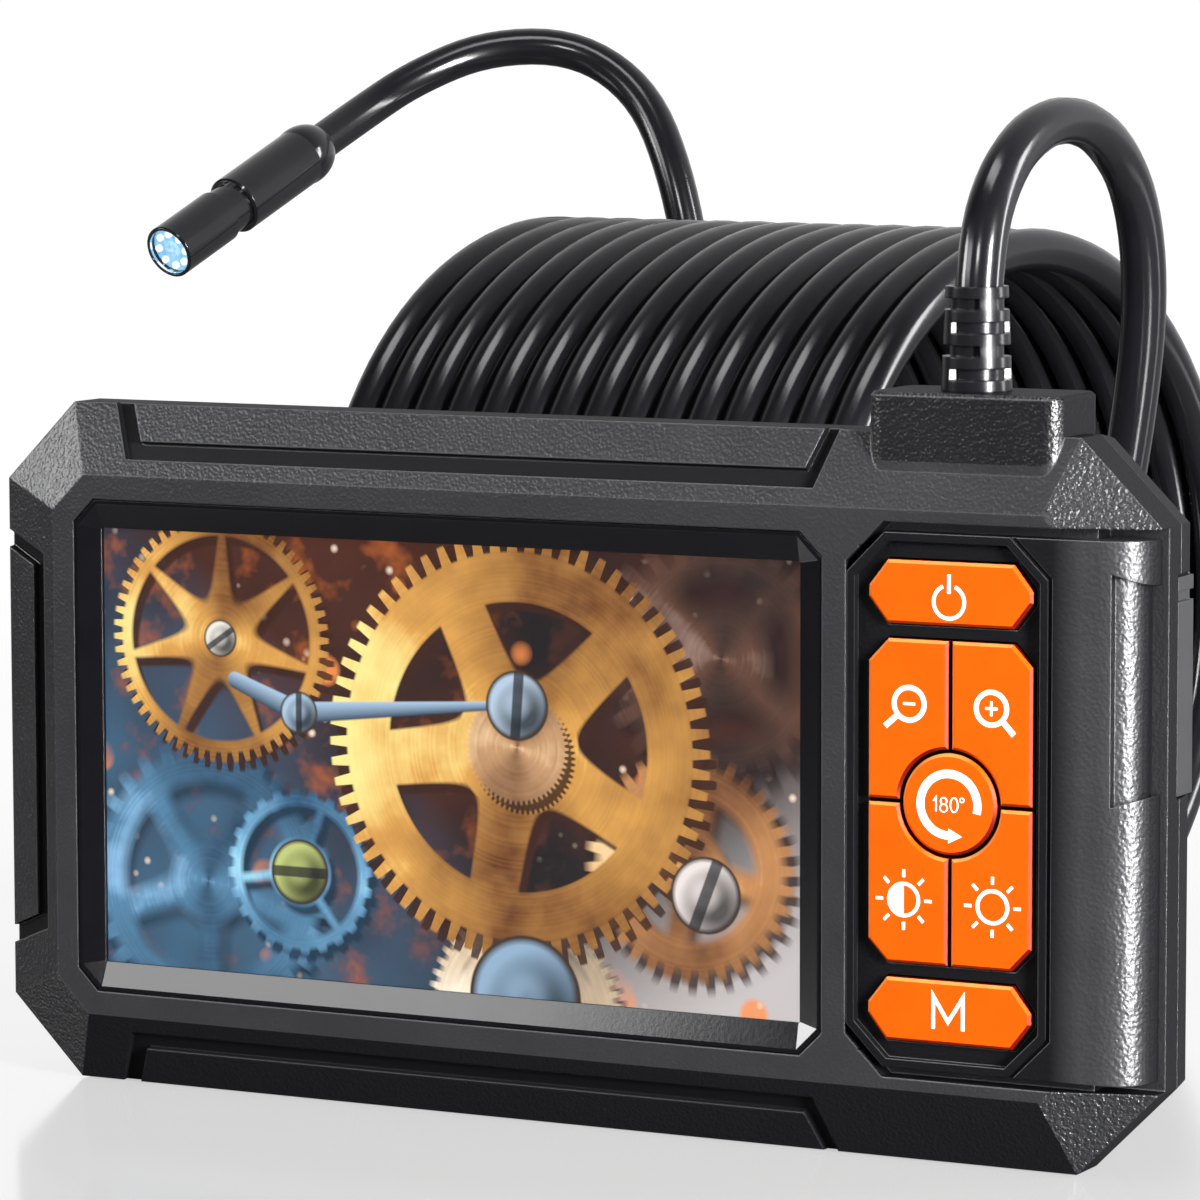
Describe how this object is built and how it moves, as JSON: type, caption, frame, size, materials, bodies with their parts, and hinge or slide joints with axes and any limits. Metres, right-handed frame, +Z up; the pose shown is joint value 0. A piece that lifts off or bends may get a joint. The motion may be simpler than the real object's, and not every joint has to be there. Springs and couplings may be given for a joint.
{
  "type": "inspection camera",
  "caption": "Handheld inspection camera: display case with a key pad, and a long semi-rigid cable wound behind it that ends in a lit camera head.",
  "frame": {"origin": "middle of the case's width and depth, on the surface it stands on", "axes": "+X to the user's right, +Y from the display towards the back, +Z up"},
  "size_m": [0.2, 0.1784, 0.129],
  "materials": {
    "case_plastic": "fine grained moulded ABS",
    "grip_plastic": "fine grained, darker",
    "gloss_black": "polished",
    "clear_window": "clear",
    "lcd_glass": "display cell",
    "metal_can": "tinned",
    "key_orange": "satin",
    "silicone": "moulded silicone",
    "switch_metal": "domes",
    "circuit_board": "solder mask",
    "chip_black": "epoxy",
    "socket_white": "moulded",
    "battery_wrap": "foil pouch",
    "cover_rubber": "soft",
    "screw_steel": "blackened",
    "relief_rubber": "gloss",
    "cable_jacket": "smooth PVC",
    "head_metal": "gloss black",
    "led_white": "lit",
    "lens_glass": "coated"
  },
  "bodies": {
    "root": {"front_housing": "case_plastic", "rear_housing": "case_plastic", "grip_panel": "grip_plastic", "screen_bezel": "gloss_black", "display_window": "clear_window", "lcd_panel": "lcd_glass", "lcd_backlight": "metal_can", "keypad_membrane": "silicone", "key_switches": "switch_metal", "key_board": "circuit_board", "main_board": "circuit_board", "board_chips": "chip_black", "cable_socket": "socket_white", "battery_pack": "battery_wrap", "port_board": "circuit_board", "usb_port": "metal_can", "card_socket": "metal_can", "housing_screws": "screw_steel", "board_screws": "screw_steel", "key_board_screws": "screw_steel", "strain_relief": "relief_rubber", "cable_lead": "cable_jacket", "cable_coil": "cable_jacket", "cable_tail": "cable_jacket", "head_ferrule": "head_metal", "head_barrel": "head_metal", "head_window": "clear_window", "head_leds": "led_white", "head_lens": "lens_glass", "head_board": "circuit_board", "image_sensor": "chip_black"},
    "power_button": {"power_key": "key_orange"},
    "zoom_out_button": {"zoom_out_key": "key_orange"},
    "zoom_in_button": {"zoom_in_key": "key_orange"},
    "rotate_button": {"rotate_key": "key_orange"},
    "contrast_button": {"contrast_key": "key_orange"},
    "light_button": {"light_key": "key_orange"},
    "mode_button": {"mode_key": "key_orange"},
    "port_flap": {"port_cover": "cover_rubber"}
  },
  "joints": [
    {"name": "power_press", "type": "slide", "parent": "root", "child": "power_button", "axis": [0, 1, 0], "range_m": [0, 0.0006], "stiffness_N_per_m": 300},
    {"name": "zoom_out_press", "type": "slide", "parent": "root", "child": "zoom_out_button", "axis": [0, 1, 0], "range_m": [0, 0.0006], "stiffness_N_per_m": 300},
    {"name": "zoom_in_press", "type": "slide", "parent": "root", "child": "zoom_in_button", "axis": [0, 1, 0], "range_m": [0, 0.0006], "stiffness_N_per_m": 300},
    {"name": "rotate_press", "type": "slide", "parent": "root", "child": "rotate_button", "axis": [0, 1, 0], "range_m": [0, 0.0006], "stiffness_N_per_m": 300},
    {"name": "contrast_press", "type": "slide", "parent": "root", "child": "contrast_button", "axis": [0, 1, 0], "range_m": [0, 0.0006], "stiffness_N_per_m": 300},
    {"name": "light_press", "type": "slide", "parent": "root", "child": "light_button", "axis": [0, 1, 0], "range_m": [0, 0.0006], "stiffness_N_per_m": 300},
    {"name": "mode_press", "type": "slide", "parent": "root", "child": "mode_button", "axis": [0, 1, 0], "range_m": [0, 0.0006], "stiffness_N_per_m": 300},
    {"name": "port_flap_hinge", "type": "hinge", "parent": "root", "child": "port_flap", "pos_m": [0.07675, -0.0023, 0.04345], "axis": [0, 1, 0], "range_deg": [0, 110]}
  ]
}
